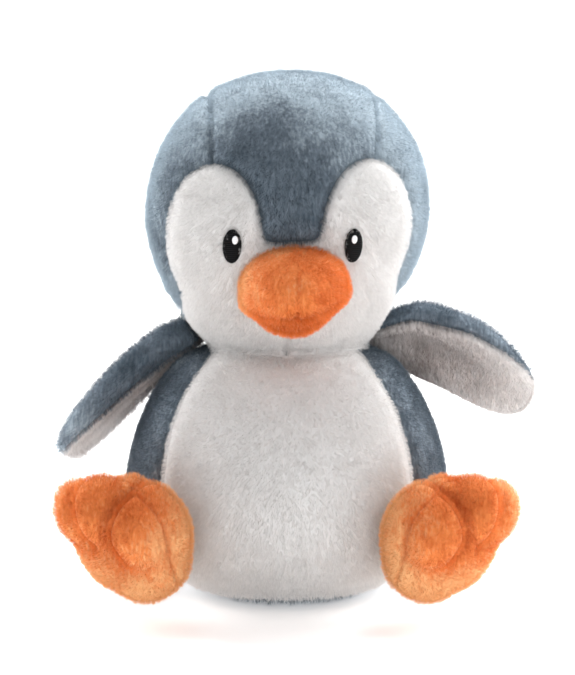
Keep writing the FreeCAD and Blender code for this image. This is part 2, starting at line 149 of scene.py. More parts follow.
def seam_corners(ring, level):
    """The two corners of a face that lie on a seam with the rest of the face on both sides of it."""
    for first, start in enumerate(ring):
        for last in range(first + 2, len(ring)):
            end = ring[last]
            if level[start] != 0 or level[end] != 0 or (first == 0 and last == len(ring) - 1):
                continue
            one = [level[vert] for vert in ring[first + 1:last]]
            other = [level[vert] for vert in ring[last + 1:] + ring[:first]]
            if max(one) <= 0 <= min(other) or max(other) <= 0 <= min(one):
                return start, end
    return None


def sort_panels(bm, tests):
    """Notes on each face which panel it belongs to: the first test that its middle passes."""
    for face in bm.faces:
        middle = face.calc_center_median()
        face.material_index = next((place for place, test in enumerate(tests) if test(middle)), len(tests))


SWELL_FRAMES = 14


def swell(bm, seam_gap, pressure, most):
    """Lets the cloth stretch over its stuffing while the seams hold: a short simulation."""
    mesh = bpy.data.meshes.new("swelling")
    bm.verts.index_update()
    bm.to_mesh(mesh)
    blown = bpy.data.objects.new("swelling", mesh)
    scene.collection.objects.link(blown)
    held = blown.vertex_groups.new(name="held")
    for vert in bm.verts:
        grip = 1 - smooth_step(0.6 * MM, 3 * MM, seam_gap(vert.co))
        held.add([vert.index], grip, "REPLACE")
    cloth = blown.modifiers.new("cloth", "CLOTH")
    cloth.settings.quality = 4
    cloth.settings.mass = 0.2
    cloth.settings.bending_stiffness = 0.3
    cloth.settings.use_pressure = True
    cloth.settings.uniform_pressure_force = pressure
    cloth.settings.vertex_group_mass = "held"
    cloth.settings.effector_weights.gravity = 0
    cloth.point_cache.frame_start = 1
    cloth.point_cache.frame_end = SWELL_FRAMES
    for step in range(1, SWELL_FRAMES + 1):
        scene.frame_set(step)
    final = blown.evaluated_get(bpy.context.evaluated_depsgraph_get())
    for vert, moved in zip(bm.verts, final.data.vertices):
        shift = moved.co - vert.co
        if shift.length > most:
            shift.length = most
        vert.co += shift
    scene.frame_set(1)
    bpy.data.objects.remove(blown)
    bpy.data.meshes.remove(mesh)


def press_seams(bm, seam_gap, depth, width):
    """Sinks the cloth at its seams, with small puckers running off them."""
    bm.normal_update()
    for vert in bm.verts:
        gap = seam_gap(vert.co)
        pucker = noise.noise(vert.co * (180 / width * MM)) * math.exp(-gap / (3 * width))
        lumps = noise.noise(vert.co * 30)
        sink = depth * math.exp(-((gap / width) ** 2)) + 0.3 * depth * pucker
        beside = 0.45 * MM * math.exp(-(((gap - 4 * MM) / (2.5 * MM)) ** 2))
        vert.co += vert.normal * (0.6 * MM * lumps + beside - sink)


def as_piece(bm, name):
    """The finished mesh as a smoothly shaded piece in the scene."""
    mesh = bpy.data.meshes.new(name)
    bm.to_mesh(mesh)
    bm.free()
    mesh.polygons.foreach_set("use_smooth", [True] * len(mesh.polygons))
    piece = bpy.data.objects.new(name, mesh)
    scene.collection.objects.link(piece)
    return piece


def panel(bm, name, number):
    """One sewn panel as its own piece: the faces that were sorted under its number."""
    part = bm.copy()
    spare = [face for face in part.faces if face.material_index != number]
    bmesh.ops.delete(part, geom=spare, context="FACES")
    for face in part.faces:
        face.material_index = 0
    return as_piece(part, name)


STRANDS_BESIDE = 7
STRAND_RADIUS = 0.055 * MM


def pile(piece, fur, length, strands, lean, seed, bare):
    """Short cut pile standing on the cloth: strands per square millimetre, leaning one way, with
    none where bare(point) says that something else covers the cloth."""
    piece.data.materials.append(fur)
    grown = piece.vertex_groups.new(name="grown")
    for vert in piece.data.vertices:
        grown.add([vert.index], 0 if bare and bare(vert.co) else 1, "REPLACE")
    area = sum(face.area for face in piece.data.polygons) / MM ** 2
    growth = piece.modifiers.new("pile", "PARTICLE_SYSTEM")
    growth.particle_system.seed = seed
    growth.particle_system.vertex_group_density = "grown"
    hair = growth.particle_system.settings
    hair.type = "HAIR"
    hair.count = max(200, int(area * strands / STRANDS_BESIDE))
    hair.hair_length = length
    hair.hair_step = 3
    hair.render_step = 2
    hair.use_advanced_hair = True
    hair.normal_factor = 0.00045
    hair.object_align_factor = [value * 0.0005 for value in lean]
    hair.factor_random = 0.00016
    hair.child_type = "INTERPOLATED"
    hair.rendered_child_count = STRANDS_BESIDE
    hair.child_length = 1
    hair.clump_factor = 0.05
    hair.root_radius = 1
    hair.tip_radius = 0.5
    hair.radius_scale = STRAND_RADIUS
    hair.material = 2


def stands_for(node):
    """Hides the CAD node that a piece is seen instead of."""
    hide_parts(node)


def sew_on(piece, cloth, fur, node, slot, strands=8.0, lean=(0, 0, -0.4), length=FUR, seed=1, bare=None):
    """Cloth on both faces of a panel, its pile, and the CAD panel that it stands for."""
    piece.data.materials.append(cloth)
    pile(piece, fur, length if slot != "white_plush" else 0.75 * length, strands, lean, seed, bare)
    smooth = piece.modifiers.new("drape", "SUBSURF")
    smooth.levels = smooth.render_levels = 1
    thick = piece.modifiers.new("cloth", "SOLIDIFY")
    thick.thickness = CLOTH
    thick.offset = -1
    stands_for(node)


def stuffing(name, bm, inset, node):
    """The filling under a skin: the same form, smaller all round."""
    part = bm.copy()
    part.normal_update()
    for vert in part.verts:
        vert.co -= vert.normal * inset
    piece = as_piece(part, name)
    piece.data.materials.append(fibre)
    stands_for(node)
    return piece


def link(tree, source, output, target, socket):
    """Joins two node sockets by name."""
    tree.links.new(source.outputs[output], target.inputs[socket])


MIX_ONE, MIX_OTHER, MIX_RESULT = 6, 7, 2


def ranged(tree, source, output, span, result, smooth=False):
    """Carries a span of a value over to another span, held at both ends."""
    node = tree.nodes.new("ShaderNodeMapRange")
    node.interpolation_type = "SMOOTHSTEP" if smooth else "LINEAR"
    for name, value in zip(("From Min", "From Max", "To Min", "To Max"), (*span, *result)):
        node.inputs[name].default_value = value
    link(tree, source, output, node, "Value")
    return node


def product(tree, source, output, other, other_output):
    """Two values multiplied."""
    node = tree.nodes.new("ShaderNodeMath")
    node.operation = "MULTIPLY"
    link(tree, source, output, node, 0)
    link(tree, other, other_output, node, 1)
    return node


def nap_group():
    """The colour and the lie of combed plush: broad patches where the pile was combed one way or the other,
    fine streaks along it, and small tufts. An added input shifts the colour darker for painted shade and
    paler for painted light."""
    tree = bpy.data.node_groups.new("nap_and_painted_light", "ShaderNodeTree")
    face = tree.interface
    for name in ("Dark", "Middle", "Light"):
        face.new_socket(name, in_out="INPUT", socket_type="NodeSocketColor")
    face.new_socket("Patch size", in_out="INPUT", socket_type="NodeSocketFloat")
    face.new_socket("Painted light", in_out="INPUT", socket_type="NodeSocketFloat")
    face.new_socket("Colour", in_out="OUTPUT", socket_type="NodeSocketColor")
    face.new_socket("Height", in_out="OUTPUT", socket_type="NodeSocketFloat")
    enter = tree.nodes.new("NodeGroupInput")
    leave = tree.nodes.new("NodeGroupOutput")
    place = tree.nodes.new("ShaderNodeTexCoord")
    patches = tree.nodes.new("ShaderNodeTexNoise")
    patches.inputs["Detail"].default_value = 3
    patches.inputs["Roughness"].default_value = 0.6
    patches.inputs["Distortion"].default_value = 0.6
    link(tree, place, "Object", patches, "Vector")
    link(tree, enter, "Patch size", patches, "Scale")
    stretch = tree.nodes.new("ShaderNodeMapping")
    stretch.inputs["Scale"].default_value = (900, 900, 260)
    link(tree, place, "Object", stretch, "Vector")
    streaks = tree.nodes.new("ShaderNodeTexNoise")
    streaks.inputs["Scale"].default_value = 1
    streaks.inputs["Detail"].default_value = 2
    link(tree, stretch, "Vector", streaks, "Vector")
    blend = tree.nodes.new("ShaderNodeMath")
    blend.operation = "MULTIPLY_ADD"
    blend.inputs[1].default_value = 0.8
    link(tree, streaks, "Fac", blend, 0)
    link(tree, patches, "Fac", blend, 2)
    # The added input shifts the nap here: below zero it is painted shade towards the dark colour, above zero
    # painted light towards the light colour.
    nap_plus_painted_light = tree.nodes.new("ShaderNodeMath")
    link(tree, blend, "Value", nap_plus_painted_light, 0)
    link(tree, enter, "Painted light", nap_plus_painted_light, 1)
    spread = ranged(tree, nap_plus_painted_light, "Value", (0.50, 1.30), (0, 1))
    darker = ranged(tree, spread, "Result", (0, 0.5), (0, 1))
    lighter = ranged(tree, spread, "Result", (0.5, 1), (0, 1))
    colour = enter.outputs["Dark"]
    for mask, name in ((darker, "Middle"), (lighter, "Light")):
        mix = tree.nodes.new("ShaderNodeMix")
        mix.data_type = "RGBA"
        link(tree, mask, "Result", mix, "Factor")
        tree.links.new(colour, mix.inputs[MIX_ONE])
        link(tree, enter, name, mix, MIX_OTHER)
        colour = mix.outputs[MIX_RESULT]
    tree.links.new(colour, leave.inputs["Colour"])
    link(tree, streaks, "Fac", leave, "Height")
    return tree


nap_and_painted_light = nap_group()


def surface(name, roughness):
    """A new material, with its node tree and its shader."""
    material = bpy.data.materials.new(name)
    material.use_nodes = True
    shader = material.node_tree.nodes["Principled BSDF"]
    shader.inputs["Roughness"].default_value = roughness
    return material, material.node_tree, shader


# How far painted shade near a place and painted light farther off shift the nap's colour.
PAINTED_LIGHT_RANGE = (-0.16, 0.45)
# How much paler than the nap the strand tips are painted, with painted shade towards the roots, and how much
# strands differ at random.
TIP_SHADE = 1.15
TIP_UNEVEN = 1.12


def plush(name, dark, middle, light, sheen, patch=55, tips=False, root=0.6, painted_light=None):
    """A plush material: the woven ground with its nap, or the pile strands, painted darker at the root and
    paler at the tip as painted shade in the pile. The last argument gives a place, a near and a far distance:
    painted shade darkens the colour near that place and painted light makes it paler at the far distance, and
    it is as usual well beyond that."""
    material, tree, shader = surface(name, 0.92)
    shader.inputs["Specular IOR Level"].default_value = 0.15
    shader.inputs["Sheen Weight"].default_value = 0.2 if tips else 0.5
    shader.inputs["Sheen Roughness"].default_value = 0.4
    shader.inputs["Sheen Tint"].default_value = (*sheen, 1)
    nap = tree.nodes.new("ShaderNodeGroup")
    nap.node_tree = nap_and_painted_light
    for shade, colour in (("Dark", dark), ("Middle", middle), ("Light", light)):
        nap.inputs[shade].default_value = (*colour, 1)
    nap.inputs["Patch size"].default_value = patch
    # Painted shade near a given place and painted light farther off, fading out well beyond that.
    if painted_light:
        shade_centre, near, far = painted_light
        place = tree.nodes.new("ShaderNodeTexCoord")
        reach = tree.nodes.new("ShaderNodeVectorMath")
        reach.operation = "DISTANCE"
        reach.inputs[1].default_value = shade_centre
        link(tree, place, "Object", reach, 0)
        paler = ranged(tree, reach, "Value", (near, far), PAINTED_LIGHT_RANGE, smooth=True)
        fading = ranged(tree, reach, "Value", (far, 1.5 * far), (1, 0.2), smooth=True)
        painted_light_field = product(tree, paler, "Result", fading, "Result")
        link(tree, painted_light_field, "Value", nap, "Painted light")
    if tips:
        # Painted shade in the pile: each strand is darker at its root and paler at its tip, with a random
        # tone of its own.
        strand = tree.nodes.new("ShaderNodeHairInfo")
        along = ranged(tree, strand, "Intercept", (0, 1), (root, TIP_SHADE))
        uneven = ranged(tree, strand, "Random", (0, 1), (1.5 * root / (0.5 + root), TIP_UNEVEN))
        both = product(tree, along, "Result", uneven, "Result")
        tone = tree.nodes.new("ShaderNodeVectorMath")
        tone.operation = "SCALE"
        link(tree, nap, "Colour", tone, 0)
        link(tree, both, "Value", tone, "Scale")
        link(tree, tone, "Vector", shader, "Base Color")
        glow = tree.nodes.new("ShaderNodeBsdfTranslucent")
        through = tree.nodes.new("ShaderNodeMixShader")
        through.inputs["Fac"].default_value = 0.35
        link(tree, tone, "Vector", glow, "Color")
        link(tree, shader, "BSDF", through, 1)
        link(tree, glow, "BSDF", through, 2)
        link(tree, through, "Shader", tree.nodes["Material Output"], "Surface")
    else:
        link(tree, nap, "Colour", shader, "Base Color")
        bump = tree.nodes.new("ShaderNodeBump")
        bump.inputs["Strength"].default_value = 0.55
        bump.inputs["Distance"].default_value = 0.5 * MM
        link(tree, nap, "Height", bump, "Height")
        link(tree, bump, "Normal", shader, "Normal")
    return material


BLUE_GREY = {"dark": (0.080, 0.108, 0.136), "middle": (0.172, 0.213, 0.256),
             "light": (0.46, 0.54, 0.60), "sheen": (0.78, 0.88, 0.96)}
WHITE = {"dark": (0.70, 0.685, 0.675), "middle": (0.75, 0.74, 0.732),
         "light": (0.80, 0.795, 0.79), "sheen": (1.0, 0.99, 0.98)}
# Painted shade between the eyes and painted light over the top and sides of the head: darker near this place
# in front of the brow, paler farther off.
CROWN_PAINTED_LIGHT = ((-0.010, -0.060, 0.140), 0.025, 0.074)
blue_grey_cloth = plush("blue_grey_cloth", **BLUE_GREY)
blue_grey_fur = plush("blue_grey_fur", **BLUE_GREY, tips=True)
crown_cloth = plush("crown_cloth", **BLUE_GREY, painted_light=CROWN_PAINTED_LIGHT)
crown_fur = plush("crown_fur", **BLUE_GREY, tips=True, painted_light=CROWN_PAINTED_LIGHT)
white_cloth = plush("white_cloth", **WHITE, patch=40)
white_fur = plush("white_fur", **WHITE, patch=40, tips=True, root=0.9)
fibre = plush("stuffing_fibre", (0.62, 0.62, 0.60), (0.78, 0.78, 0.76), (0.88, 0.88, 0.87),
              (1, 1, 1), patch=140)


def torso_form(direction):
    """The stuffed torso: a pear with sloping shoulders, round below and barely flat where it sits."""
    point = lathe(direction, TORSO_RADIUS, TORSO_RADIUS * 0.98, (60 * MM, 1.5, 0.38), (46.5 * MM, 2.3, 0.45))
    point.z += TORSO_LEVEL
    soft = 1.5 * MM
    if point.z < soft:
        point.z = soft * math.exp((point.z - soft) / soft)
    return draw_in(point, NECK_LEVEL, 3 * MM)


def over_neck(point):
    """Height above the seam where head and torso meet."""
    return point.z - NECK_LEVEL


def belly_gap(point):
    """How far a point lies outside the belly panel; far behind, it is far outside."""
    front = oval_gap(point, (0, BELLY_LEVEL), BELLY_HALF_WIDE, BELLY_HALF_TALL)
    return front if point.y < 0 else front + TORSO_RADIUS


def torso_seam_gap(point):
    """Distance to the nearest torso seam: round the belly, down the spine, round the base."""
    spine = abs(point.x) if point.y > 0 else TORSO_RADIUS
    return min(abs(belly_gap(point)), spine, abs(point.z - BASE_LIP) * 1.2)


def in_base(point):
    return point.z < BASE_LIP


torso = blank_ball(BODY_STEPS)
for vert in torso.verts:
    vert.co = torso_form(vert.co)
cut_along(torso, over_neck)
over = [face for face in torso.faces if face.calc_center_median().z > NECK_LEVEL]
bmesh.ops.delete(torso, geom=over, context="FACES")
torso_core = torso.copy()
cut_along(torso, lambda point: point.z - BASE_LIP)
cut_along(torso, belly_gap)
cut_along(torso, lambda point: point.x if point.y > 0 else 1)
TORSO_PANELS = (
    ("belly", "belly_panel", "white_plush", white_cloth, white_fur,
     lambda p: belly_gap(p) < 0 and not in_base(p)),
    ("back_left", "back_panel_left", "blue_grey_plush", blue_grey_cloth, blue_grey_fur,
     lambda p: belly_gap(p) > 0 and p.x > 0 and not in_base(p)),
    ("back_right", "back_panel_right", "blue_grey_plush", blue_grey_cloth, blue_grey_fur,
     lambda p: belly_gap(p) > 0 and p.x < 0 and not in_base(p)),
)
sort_panels(torso, [keep for *_, keep in TORSO_PANELS])
swell(torso, torso_seam_gap, PRESSURE, MOST_SWELL)
press_seams(torso, torso_seam_gap, SEAM_DEEP, SEAM_WIDE)
for vert in torso.verts:
    vert.co.z = max(vert.co.z, 0.3 * MM)
for number, (name, node, slot, cloth, fur, keep) in enumerate(TORSO_PANELS):
    piece = panel(torso, name, number)
    sew_on(piece, cloth, fur, node, slot, seed=10 + number)
    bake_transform(piece)
base = panel(torso, "base", len(TORSO_PANELS))
sew_on(base, blue_grey_cloth, blue_grey_fur, "base_panel", "blue_grey_plush", strands=2, seed=14)
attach(base, "torso")


# ----------------------------------------------------- what the torso holds
# Loose polyester fibre fills the torso.  Low in it lies a flat pouch of thin cloth with plastic
# pellets, which keeps the toy upright.
filling = stuffing("torso_filling", torso_core, UNDER_SKIN, "torso_stuffing")
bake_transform(filling)


def two_tone(tree, shader, mask, output, colours, strength, depth):
    """Colours a surface by a mask and raises it a little by the same mask."""
    mix = tree.nodes.new("ShaderNodeMix")
    mix.data_type = "RGBA"
    mix.inputs[MIX_ONE].default_value = (*colours[0], 1)
    mix.inputs[MIX_OTHER].default_value = (*colours[1], 1)
    link(tree, mask, output, mix, "Factor")
    link(tree, mix, MIX_RESULT, shader, "Base Color")
    bump = tree.nodes.new("ShaderNodeBump")
    bump.inputs["Strength"].default_value = strength
    bump.inputs["Distance"].default_value = depth
    link(tree, mask, output, bump, "Height")
    link(tree, bump, "Normal", shader, "Normal")


def grain_and_gap_shade(name, colours, grain, roughness, bumpiness):
    """A plain material with a fine grain of cells in its colour and its surface: the first colour in each
    cell's middle, the second towards its edge.
    """
    material, tree, shader = surface(name, roughness)
    cells = tree.nodes.new("ShaderNodeTexVoronoi")
    cells.inputs["Scale"].default_value = grain
    place = tree.nodes.new("ShaderNodeTexCoord")
    link(tree, place, "Object", cells, "Vector")
    two_tone(tree, shader, cells, "Distance", colours, bumpiness, 1 * MM)
    return material


def bag(name, node, room, rough, material):
    """A low rounded mass that fills a node's box but for some room: rough(point) gives its surface."""
    low, high = (Vector(corner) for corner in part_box(node))
    middle = (low + high) / 2
    half = (high - low) / 2 - Vector((room, room, room))
    bm = blank_ball(40)
    for vert in bm.verts:
        vert.co = middle + vert.co * half
    bm.normal_update()
    for vert in bm.verts:
        vert.co += vert.normal * rough(vert.co)
    piece = as_piece(bm, name)
    piece.data.materials.append(material)
    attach(piece, "torso")
    stands_for(node)
    return piece


POUCH_LOW, POUCH_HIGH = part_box("bean_pouch")
POUCH_SEAM = (POUCH_LOW[2] + POUCH_HIGH[2]) / 2
PELLET = 3 * MM


def rumpled(point):
    """Thin cloth over pellets: soft rumples, drawn flat along the seam round the pouch."""
    seam = math.exp(-(((point.z - POUCH_SEAM) / (0.9 * MM)) ** 2))
    return 0.6 * MM * noise.noise(point * 140) + 0.8 * MM * seam


def heaped(point):
    """Rounded pellets lying against each other."""
    nearest = noise.voronoi(point / PELLET)[0][0]
    return 0.7 * MM * (0.6 - nearest)


pouch_cloth = grain_and_gap_shade("pouch_cloth", ((0.75, 0.74, 0.70), (0.62, 0.61, 0.58)), 1500, 0.9, 0.3)
pouch = bag("pellet_pouch", "bean_pouch", 1.4 * MM, rumpled, pouch_cloth)
# The pellets are paler in the middle of each pellet-sized cell and darker towards its edge: painted shade in
# the gaps between pellets.
pellets = grain_and_gap_shade("pellets", ((0.88, 0.88, 0.86), (0.55, 0.55, 0.53)), 330, 0.4, 0.6)
bag("pellet_heap", "bean_pellets", 0.5 * MM, heaped, pellets)


# ------------------------------------------------------------------ the head
# A crown gusset runs from the beak over the top to the nape between two side panels; the white face
# is two panels, each with a lobe over the eye.  The head was closed by hand at the neck, and on this
# toy it is turned and leans a little to its own left.
HEAD_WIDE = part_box("head_side_left")[1][0] - 0.3 * MM - FUR - PUFF
HEAD_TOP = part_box("crown_gusset")[1][2] - 0.5 * MM - FUR - PUFF
HEAD_LEVEL = 147.6 * MM
HEAD_CENTRE = Vector((0, 0, HEAD_LEVEL))
HEAD_DEEP = HEAD_WIDE * 0.97
HEAD_UP = (HEAD_TOP - HEAD_LEVEL, 2.25, 0.49)
HEAD_DOWN = (60 * MM, 1.48, 0.443)
HEAD_TURN = Matrix.Rotation(math.radians(3.2), 4, "Z")
HEAD_LEAN = 0.033
JAW = (0, 0, NECK_LEVEL + 14 * MM)
LOBE_PLACES = ((-29.3 * MM, 142.5 * MM), (28 * MM, 144.5 * MM))
LOBE = (17.2 * MM, 26 * MM)
CHEEK_LEVEL = 113 * MM
CHEEK = (40.5 * MM, 27 * MM)
CHEEK_SIDE = 1.8 * MM
CROWN_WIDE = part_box("crown_gusset")[1][0]
CROWN_NAPE = 14 * MM
CROWN_BEND = 171 * MM
BROW_LEVEL = 139 * MM


def seat_on_neck(point):
    """Turns and leans a point of the head as this toy wears it; the neck ring stays round."""
    high = smooth_step(NECK_LEVEL, JAW[2], point.z)
    moved = HEAD_TURN @ point
    moved.x += HEAD_LEAN * (moved.z - HEAD_CENTRE.z) * high
    return point.lerp(moved, high)


def head_form(direction):
    """The stuffed head: full above, tapering to the chin and the neck ring below."""
    point = HEAD_CENTRE + lathe(direction, HEAD_WIDE, HEAD_DEEP, HEAD_UP, HEAD_DOWN)
    return draw_in(point, NECK_LEVEL, 3 * MM)


def face_gap(point):
    """How far a point lies outside the white face: two lobes over the eyes, and the cheeks."""
    lobes = [oval_gap(point, place, *LOBE) for place in LOBE_PLACES]
    cheeks = oval_gap(point, (CHEEK_SIDE, CHEEK_LEVEL), *CHEEK)
    soft = 2.5 * MM
    total = sum(math.exp(-max(gap, -20 * MM) / soft) for gap in (*lobes, cheeks))
    front = -soft * math.log(total)
    return front if point.y < 0 else front + HEAD_WIDE


def crown_gap(point):
    """How far a point lies outside the crown gusset, which narrows towards the nape."""
    share = min(1, max(0, (CROWN_BEND - point.z) / (CROWN_BEND - NECK_LEVEL)))
    return abs(point.x) - CROWN_WIDE - (CROWN_NAPE - CROWN_WIDE) * share


def head_seam_gap(point):
    """Distance to the nearest head seam."""
    face = face_gap(point)
    slack = 1.2 * MM * smooth_step(170 * MM, 184 * MM, point.z) if point.x > 0 else 0
    crown = abs(crown_gap(point)) + slack if face > 0 else HEAD_WIDE
    chin = abs(point.x) + 1.1 * MM if face < 0 and point.y < 0 and point.z < BROW_LEVEL else HEAD_WIDE
    return min(abs(face), crown, chin)


head = blank_ball(BODY_STEPS)
for vert in head.verts:
    vert.co = head_form(vert.co)
cut_along(head, over_neck)
under = [face for face in head.faces if face.calc_center_median().z < NECK_LEVEL]
bmesh.ops.delete(head, geom=under, context="FACES")
head_core = head.copy()
cut_along(head, face_gap)
cut_along(head, lambda point: crown_gap(point) if face_gap(point) > -0.1 * MM else 1)
cut_along(head, lambda point: point.x if point.y < 0 and point.z < BROW_LEVEL else 1)

EYE_PLACES = {}
for word in ("left", "right"):
    low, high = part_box("eye_" + word)
    EYE_PLACES[word] = ((low[0] + high[0]) / 2, (low[2] + high[2]) / 2 - 0.8 * MM)
EYE = (3.35 * MM, 6.3 * MM)
BEAK_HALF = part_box("beak_upper")[1][0]
BEAK_CENTRE = Vector((0.9 * MM, -46 * MM, 123.5 * MM))


def under_trim(point):
    """True where an eye or the beak covers the face."""
    if point.y > 0:
        return False
    inside = [oval_gap(HEAD_TURN.inverted() @ point, place, *EYE) < 0 for place in EYE_PLACES.values()]
    beak = oval_gap(point, (BEAK_CENTRE.x, BEAK_CENTRE.z), BEAK_HALF * 0.9, 14.5 * MM)
    return any(inside) or beak < 0


HEAD_PANELS = (
    ("crown", "crown_gusset", "blue_grey_plush", crown_cloth, crown_fur,
     lambda p: face_gap(p) > 0 and crown_gap(p) < 0),
    ("side_left", "head_side_left", "blue_grey_plush", crown_cloth, crown_fur,
     lambda p: face_gap(p) > 0 and crown_gap(p) > 0 and p.x > 0),
    ("side_right", "head_side_right", "blue_grey_plush", crown_cloth, crown_fur,
     lambda p: face_gap(p) > 0 and crown_gap(p) > 0 and p.x < 0),
    ("face_left", "face_panel_left", "white_plush", white_cloth, white_fur,
     lambda p: face_gap(p) < 0 and p.x > 0),
    ("face_right", "face_panel_right", "white_plush", white_cloth, white_fur,
     lambda p: face_gap(p) < 0 and p.x < 0),
)
sort_panels(head, [keep for *_, keep in HEAD_PANELS])
swell(head, head_seam_gap, PRESSURE, MOST_SWELL)
press_seams(head, head_seam_gap, SEAM_DEEP, SEAM_WIDE)
for number, (name, node, slot, cloth, fur, keep) in enumerate(HEAD_PANELS):
    piece = panel(head, name, number)
    for vert in piece.data.vertices:
        vert.co = seat_on_neck(vert.co)
    sew_on(piece, cloth, fur, node, slot, seed=20 + number, bare=under_trim)
    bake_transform(piece)
for vert in head_core.verts:
    vert.co = seat_on_neck(vert.co)
filling = stuffing("head_filling", head_core, UNDER_SKIN, "head_stuffing")
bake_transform(filling)


# ------------------------------------------------------------------ the neck
# A firm plug of fibre keeps the neck up, and one run of strong doubled thread closes the seam
# between head and torso, drawn tight into the fold.
plug = blank_ball(20)
for vert in plug.verts:
    vert.co = Vector((0, 0, NECK_LEVEL)) + vert.co * (NECK_RING - 3.5 * MM)
neck_plug = stuffing("neck_plug", plug, 0, "neck_stuffing")
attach(neck_plug, "neck")


def thread_along(name, points, radius, closed=False):
    """Two-ply thread through points: a tube whose section turns, so that its plies show."""
    around = 12
    bm = bmesh.new()
    count = len(points)
    rings = []
    travelled = 0
    for place, point in enumerate(points):
        before = points[place - 1] if closed or place else point
        after = points[(place + 1) % count] if closed or place < count - 1 else point
        ahead = (after - before).normalized()
        aside = ahead.orthogonal().normalized()
        upward = ahead.cross(aside)
        travelled += (point - before).length if place else 0
        ring = []
        for step in range(around):
            angle = 2 * math.pi * step / around
            ply = 1 + 0.22 * math.cos(2 * (angle - travelled / (2.4 * radius)))
            offset = aside * math.cos(angle) + upward * math.sin(angle)
            ring.append(bm.verts.new(point + offset * radius * ply))
        rings.append(ring)
    last = count if closed else count - 1
    for place in range(last):
        low, high = rings[place], rings[(place + 1) % count]
        for step in range(around):
            bm.faces.new((low[step], low[(step + 1) % around], high[(step + 1) % around], high[step]))
    if not closed:
        bm.faces.new(rings[0][::-1])
        bm.faces.new(rings[-1])
    return as_piece(bm, name)


def threads(name, colours, sheen, gloss=0.4):
    """Lustrous embroidery or sewing thread, with the fine lines of its filaments."""
    material, tree, shader = surface(name, 0.5)
    shader.inputs["Specular IOR Level"].default_value = gloss
    shader.inputs["Sheen Weight"].default_value = sheen
    place = tree.nodes.new("ShaderNodeTexCoord")
    lines = tree.nodes.new("ShaderNodeTexWave")
    lines.bands_direction = "Z"
    lines.inputs["Scale"].default_value = 420
    lines.inputs["Distortion"].default_value = 1.5
    link(tree, place, "Object", lines, "Vector")
    two_tone(tree, shader, lines, "Fac", colours, 0.6, 0.2 * MM)
    return material


THREAD_RING = NECK_RING - 1.9 * MM
NECK_STEPS = 240
neck_turns = [2 * math.pi * step / NECK_STEPS for step in range(NECK_STEPS)]
neck_points = [Vector((THREAD_RING * math.cos(turn), THREAD_RING * math.sin(turn), NECK_LEVEL))
               for turn in neck_turns]
neck_thread = thread_along("neck_thread", neck_points, 0.5 * MM, closed=True)
neck_thread.data.materials.append(threads("grey_thread", ((0.16, 0.19, 0.23), (0.25, 0.29, 0.34)), 0.3))
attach(neck_thread, "neck_seam")
stands_for("neck_seam_thread")


# ------------------------------------------------------------------ the beak
# A padded beak of orange plush, sewn on over the chin.  The upper part has a short dart at its tip
# and overhangs the lower, which shows as a strip below.
BEAK_STEPS = 34
BEAK_AXES = (BEAK_HALF - 0.6 * MM, 27 * MM, 15.6 * MM)
MOUTH_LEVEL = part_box("beak_lower")[1][2]
ORANGE = {"dark": (0.60, 0.145, 0.030), "middle": (0.80, 0.27, 0.080),
          "light": (0.88, 0.50, 0.235), "sheen": (1.0, 0.84, 0.60)}
# Painted shade and painted highlight on the beak: darker near this place at the tip on the penguin's left,
# paler towards its right side and its base.
BEAK_PAINTED_LIGHT = ((0.014, -0.066, 0.117), 0.012, 0.050)
beak_cloth = plush("beak_cloth", **ORANGE, patch=70, painted_light=BEAK_PAINTED_LIGHT)
beak_fur = plush("beak_fur", **ORANGE, patch=70, tips=True, root=0.72, painted_light=BEAK_PAINTED_LIGHT)


def beak_form(direction):
    """A soft cone: boxy from the front, drawn to a blunt tip, and slanting in below, more so on the
    penguin's left, where the stuffing has pushed it out of true."""
    power = 2.25
    flat = math.hypot(direction.x, direction.z)
    boxy = flat / max(1e-6, (abs(direction.x) ** power + abs(direction.z) ** power) ** (1 / power))
    point = Vector((direction.x * boxy * BEAK_AXES[0], direction.y * BEAK_AXES[1],
                    direction.z * boxy * BEAK_AXES[2]))
    forward = max(0, -direction.y) ** 2
    below = max(0, -direction.z)
    left = 1 - 0.40 * smooth_step(0.05, 0.95, below)
    right = 1 - 0.24 * smooth_step(0.35, 1.0, below)
    share = smooth_step(-0.4, 0.4, direction.x)
    point.x *= (1 - 0.14 * forward) * (left * share + right * (1 - share))
    point.z *= 1 - 0.12 * forward
    point.z -= 1.5 * MM * forward
    return BEAK_CENTRE + point


def mouth_gap(point):
    """Height above the seam between upper and lower beak, which runs almost level round it."""
    aside = (point.x - BEAK_CENTRE.x) / BEAK_AXES[0]
    return point.z - MOUTH_LEVEL + 2.8 * MM - 3.2 * MM * aside ** 2 - 2.1 * MM * aside


def mouth_seam_gap(point):
    """Distance to the seam between upper and lower beak."""
    return abs(mouth_gap(point))


def dart_gap(point):
    """Distance to the short dart that gives the beak its tip."""
    tip = point.y < BEAK_CENTRE.y - 0.80 * BEAK_AXES[1] and mouth_gap(point) > 0
    return abs(point.x - BEAK_CENTRE.x) if tip else BEAK_AXES[0]


